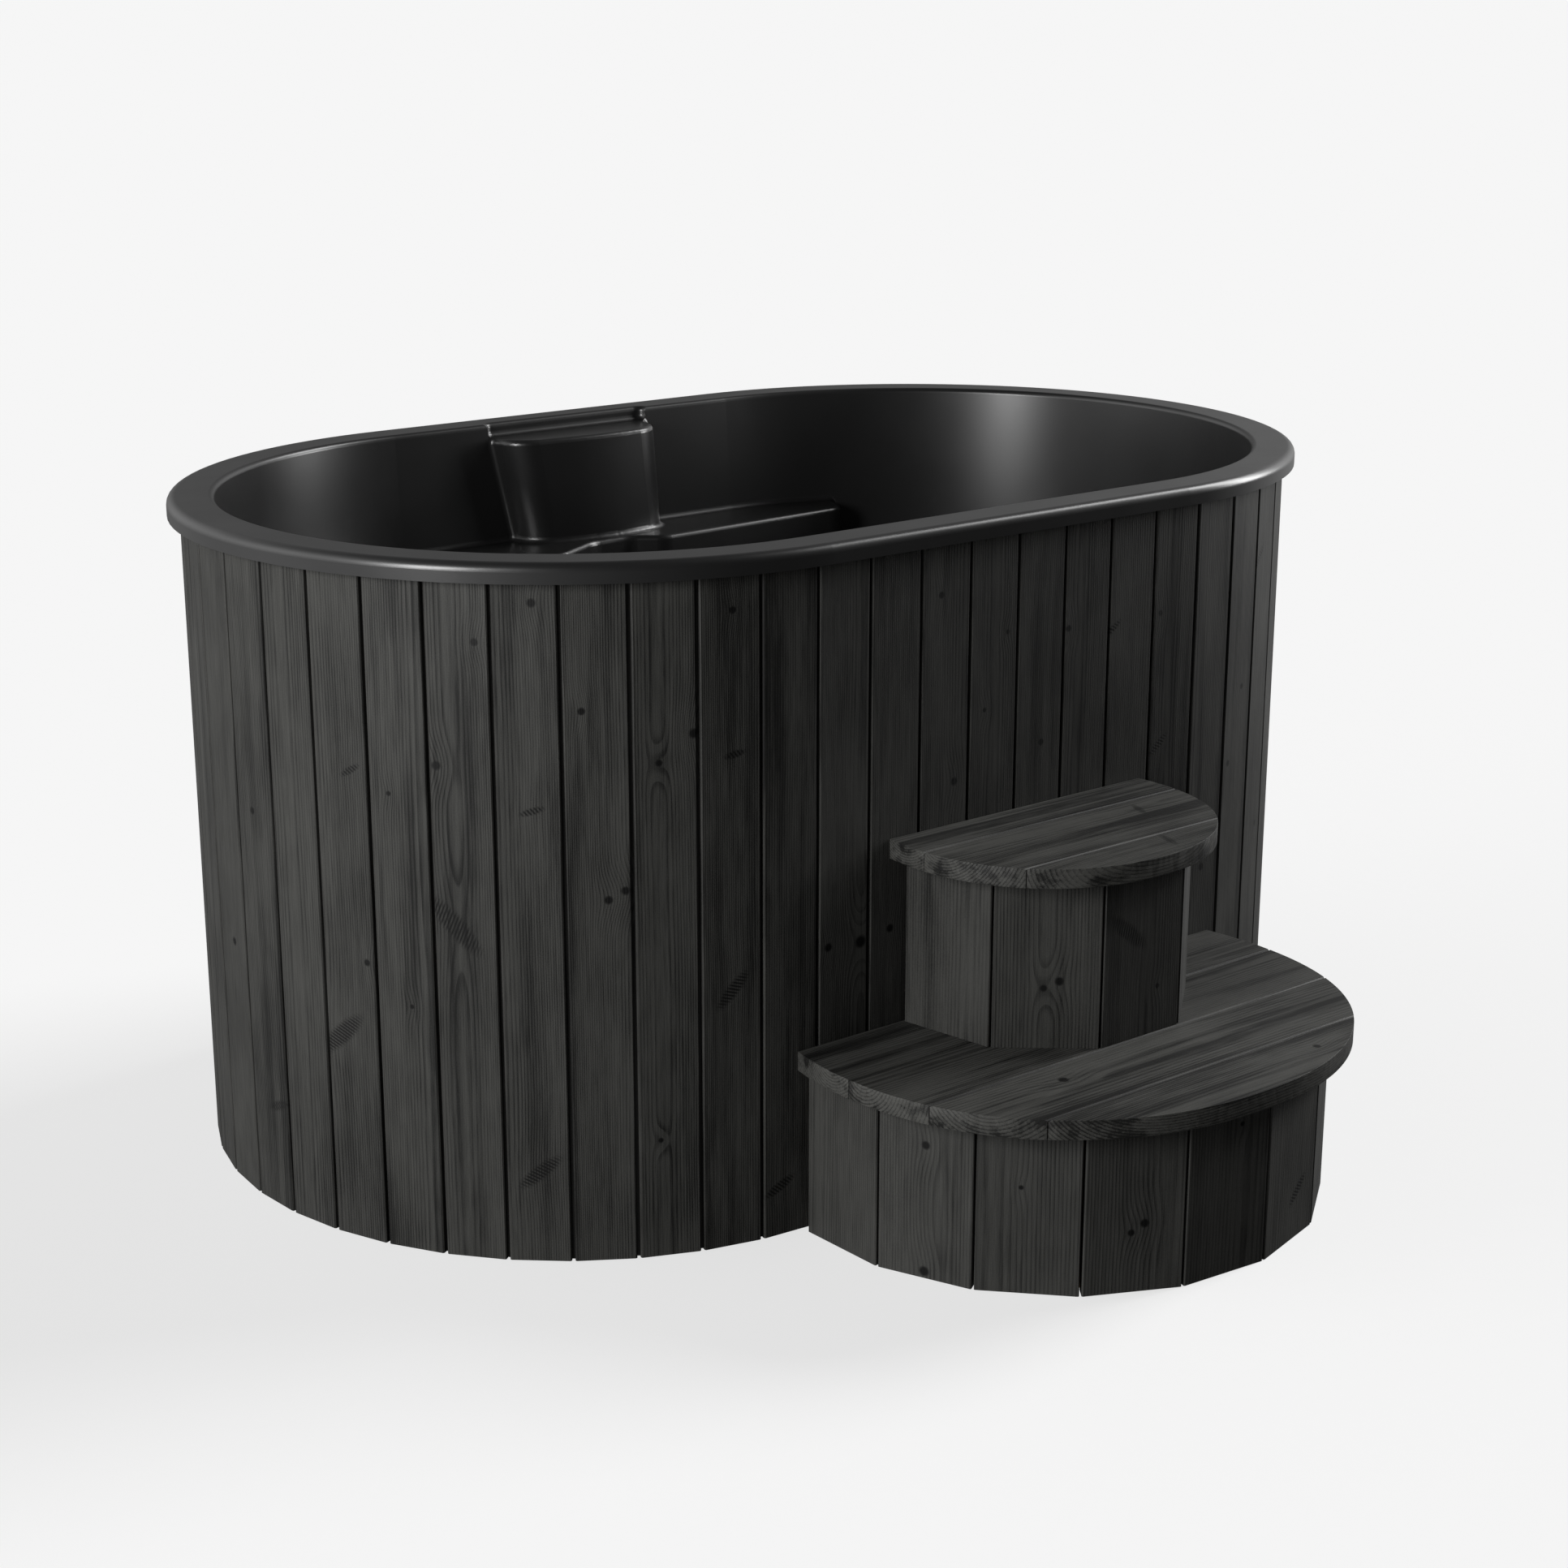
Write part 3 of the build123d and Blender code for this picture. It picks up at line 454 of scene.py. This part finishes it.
chance = random.Random(7)
for number in range(board_count):
    s = first_groove + number * board_pitch
    left_edge, right_edge = outline_point(s), outline_point(s + board_pitch)
    middle = (left_edge + right_edge) / 2
    width = (right_edge - left_edge).length
    along = (right_edge - left_edge) / width
    inward = Vector((-along.y, along.x, 0))
    board = upright_board("cladding_board_%02d" % number, board_profile(width), left_edge, along, 0, board_height)
    if abs(middle.x) < straight_half:
        side = "front_cladding" if middle.y < 0 else "back_cladding"
    else:
        side = "right_cladding" if middle.x > 0 else "left_cladding"
    drain_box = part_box("drain_pipe")
    drain_x, pipe_z = (drain_box[0].x + drain_box[1].x) / 2, (drain_box[0].z + drain_box[1].z) / 2
    if side == "back_cladding" and min(left_edge.x, right_edge.x) < drain_x < max(left_edge.x, right_edge.x):
        bore(board, (drain_x, end_radius, pipe_z), 0.023, 4 * board_thickness)
    knots = [(x / 1000, z / 1000, r / 1000, lean) for x, z, r, lean in cladding_knots.get(number, [])]
    if number not in cladding_knots:
        for k in range(chance.choice((0, 1, 2))):
            knots.append((chance.uniform(-0.03, 0.03), chance.uniform(0.05, 0.9), chance.uniform(0.003, 0.006),
                          chance.choice((0, 0, 0.8))))
    heart = (chance.choice((-1, 1)) * chance.uniform(0.0, 0.09), chance.uniform(0.016, 0.05),
             chance.uniform(0.0022, 0.0036))
    temper = (number * 3.7, chance.uniform(0.93, 1.05), chance.choice((0.15, 0.30, 0.50)))
    set_grain(board, lambda co: ((co - middle).dot(along), co.z, (co - middle).dot(inward)), heart, knots, temper)
    ease_edges(board, 0.0005)
    board.data.materials.clear()
    board.data.materials.append(black_cladding)
    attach(board, "tub")
    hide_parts(side)

# The liner is one rotational moulding of black polyethylene, matte with a fine orange-peel skin. Its rim rolls over
# the tops of the boards and holds it up, and its floor lies on the deck.


def moulded_plastic(name, colour, worn, roughness):
    """Matte moulded plastic: fine skin texture, cloudy sheen and faint scuffs."""
    material, shader, start = finish_material(name)
    place = start.node("ShaderNodeTexCoord", out=3)
    peel = place.noise(420.0, 2.0, 0.5)
    sheen = place.noise(6.0, 3.0, 0.55)
    scuff = place.noise(55.0, 6.0, 0.7).between(0.58, 0.75)
    feed(shader, {"Base Color": (scuff * 0.25 + sheen * 0.3).blend(colour, worn),
                  "Roughness": (sheen + scuff * 0.3).between(0.2, 1.0, roughness - 0.03, roughness + 0.04),
                  "Specular IOR Level": 0.62, "Normal": peel.bump(0.00012, 0.3)})
    return material


liner_plastic = moulded_plastic("matte_liner_plastic", (0.009, 0.009, 0.0091, 1), (0.016, 0.016, 0.0162, 1), 0.33)
dress(liner_plastic, "liner_shell")
soften(nodes["liner_shell"], 40)

# The drain: a moulded flange clamped through the liner's floor by a winged nut, a stainless grate on top, and a grey
# pipe that runs between the joists to the back.


def turned_metal(name, colour, roughness, lines):
    """Metal with the fine lines of brushing or turning, and a few duller spots."""
    material, shader, start = finish_material(name)
    place = start.node("ShaderNodeTexCoord", out=3)
    x, y, z = place.parts()
    brushed = place.point(x * lines, y * lines, z * lines * 0.05).noise(1.0, 3.0, 0.6)
    dull = place.noise(90.0, 4.0, 0.6)
    feed(shader, {"Base Color": dull.between(0.35, 0.75).blend(colour, tuple(c * 0.7 for c in colour[:3]) + (1,)),
                  "Metallic": 1.0, "Roughness": (brushed * 0.6 + dull * 0.4).between(0.2, 0.8, roughness * 0.7,
                                                                                      roughness * 1.4),
                  "Normal": brushed.bump(0.0001, 0.3)})
    return material


dress(moulded_plastic("drain_moulding", (0.012, 0.012, 0.012, 1), (0.03, 0.03, 0.03, 1), 0.42),
      "drain_fitting", "drain_locknut")
dress(moulded_plastic("grey_pipe", (0.16, 0.17, 0.18, 1), (0.24, 0.25, 0.26, 1), 0.38),
      "drain_elbow", "drain_pipe", "pipe_collar")
dress(moulded_plastic("soft_rubber", (0.010, 0.010, 0.010, 1), (0.02, 0.02, 0.02, 1), 0.6), "drain_gasket")
dress(turned_metal("stainless_grate", (0.62, 0.62, 0.63, 1), 0.32, 900.0), "drain_strainer")

# The ball valve at the back: a sand-blasted brass body and spigot, a plated ball between white seats, and a zinc
# plated lever in a dipped black grip.
brass = turned_metal("valve_brass", (0.72, 0.50, 0.20, 1), 0.34, 500.0)
dress(brass, "valve_body", "packing_nut", "outlet_spigot")
dress(moulded_plastic("white_seats", (0.7, 0.7, 0.68, 1), (0.6, 0.6, 0.58, 1), 0.45), "valve_seats")
dress(turned_metal("plated_ball", (0.75, 0.75, 0.76, 1), 0.10, 300.0), "valve_ball")
dress(turned_metal("zinc_plate", (0.60, 0.60, 0.62, 1), 0.30, 700.0), "valve_stem", "valve_lever", "lever_nut")
dress(moulded_plastic("dipped_grip", (0.012, 0.012, 0.013, 1), (0.03, 0.03, 0.03, 1), 0.5), "lever_grip")
dress(turned_metal("screw_steel", (0.55, 0.50, 0.38, 1), 0.35, 400.0), "tread_screws")
for name in ("drain_fitting", "drain_locknut", "drain_elbow", "drain_pipe", "pipe_collar", "drain_gasket",
             "drain_strainer", "valve_body", "packing_nut", "outlet_spigot", "valve_seats", "valve_ball",
             "valve_stem", "valve_lever", "lever_nut", "lever_grip", "tread_screws"):
    soften(nodes[name], 35)

# The stair is two D-shaped boxes of upright pine boards, bevelled to meet and standing against hidden formers. Each
# carries a tread of planks, sawn to one bow and eased along the seams, in the same black stain painted paler on top,
# a painted highlight for the light that falls on the treads.
black_risers = stained_pine("black_stained_risers", (0.055, 0.0547, 0.051, 1), (0.005, 0.005, 0.0046, 1), 0.95)
# The treads' stain is set lighter than the risers': a painted highlight standing in for the light on their tops.
black_treads = stained_pine("black_stained_treads", (0.067, 0.0667, 0.062, 1), (0.007, 0.007, 0.0065, 1), 1.35)


def bench_copy(node):
    """A clean copy of a CAD node to finish: welded, and with flat faces whole again."""
    mesh = nodes[node].data.copy()
    shape = bmesh.new()
    shape.from_mesh(mesh)
    bmesh.ops.remove_doubles(shape, verts=shape.verts, dist=0.00001)
    bmesh.ops.dissolve_limit(shape, angle_limit=math.radians(0.5), verts=shape.verts, edges=shape.edges)
    shape.to_mesh(mesh)
    shape.free()
    mesh.materials.clear()
    obj = bpy.data.objects.new(node + "_stained", mesh)
    bpy.context.collection.objects.link(obj)
    return obj


riser_knots = {
    "lower_riser_1": [],
    "lower_riser_2": [(0.000, 0.190, 0.005, 0), (0.000, 0.010, 0.006, 0)],
    "lower_riser_3": [(-0.010, 0.150, 0.003, 0)],
    "lower_riser_4": [(-0.004, 0.085, 0.004, 0), (0.014, 0.097, 0.005, 0)],
    "lower_riser_5": [(0.020, 0.210, 0.003, 0)],
    "lower_riser_6": [(0.020, 0.070, 0.006, 0.8)],
    "upper_riser_1": [],
    "upper_riser_2": [(-0.004, 0.350, 0.004, 0), (0.017, 0.360, 0.005, 0)],
    "upper_riser_3": [(-0.030, 0.420, 0.009, -0.8), (0.030, 0.330, 0.003, 0)],
}
centres = {"lower": Vector((0.029, -0.627, 0)), "upper": Vector((0.029, -0.602, 0))}
riser_names = [name for name in sorted(nodes) if "_riser_" in name]
for count, name in enumerate(riser_names):
    board = bench_copy(name)
    low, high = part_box(name)
    middle = (low + high) / 2
    outward = (middle - centres[name[:5]]) * Vector((1, 1, 0))
    outward.normalize()
    along = Vector((-outward.y, outward.x, 0))
    face = max(vertex.co.dot(outward) for vertex in board.data.vertices)
    face_middle = [vertex.co.dot(along) for vertex in board.data.vertices]
    centre_along = (min(face_middle) + max(face_middle)) / 2
    heart = (chance.uniform(-0.05, 0.05), chance.uniform(0.010, 0.04), chance.uniform(0.0035, 0.0050))
    # The fifth lower riser is painted paler: painted bounce light standing in for the light the pale floor throws up
    # on it.
    painted_bounce_light = 0.2 if name == "lower_riser_5" else 0.0
    temper = (200 + count * 5.3, chance.uniform(0.95, 1.05) + painted_bounce_light, chance.choice((0.20, 0.40)))
    set_grain(board, lambda co: (co.dot(along) - centre_along, co.z, face - co.dot(outward)), heart,
              riser_knots.get(name, []), temper)
    ease_edges(board, 0.0005)
    board.data.materials.append(black_risers)
    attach(board, "stair")
    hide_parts(name)

tread_knots = {
    "lower_tread_3": [(-0.160, 0.020, 0.006, 0)],
    "lower_tread_4": [(0.190, 0.010, 0.005, 0)],
    "upper_tread_2": [(0.150, 0.030, 0.005, 0.4)],
    "upper_tread_3": [(0.080, 0.010, 0.005, 0.3)],
}
tread_names = [name for name in sorted(nodes) if "_tread_" in name]
for count, name in enumerate(tread_names):
    plank = bench_copy(name)
    low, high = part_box(name)
    middle = (low + high) / 2
    heart = (chance.uniform(-0.05, 0.05), chance.uniform(0.008, 0.04), chance.uniform(0.0035, 0.0050))
    temper = (400 + count * 4.1, chance.uniform(0.97, 1.05), chance.uniform(0.55, 0.80))
    knots = [(y, x, r, lean) for x, y, r, lean in tread_knots.get(name, [])]
    set_grain(plank, lambda co: (co.y - middle.y, co.x, high.z - co.z), heart, knots, temper)
    ease_edges(plank, 0.0006)
    plank.data.materials.append(black_treads)
    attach(plank, "stair")
    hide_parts(name)
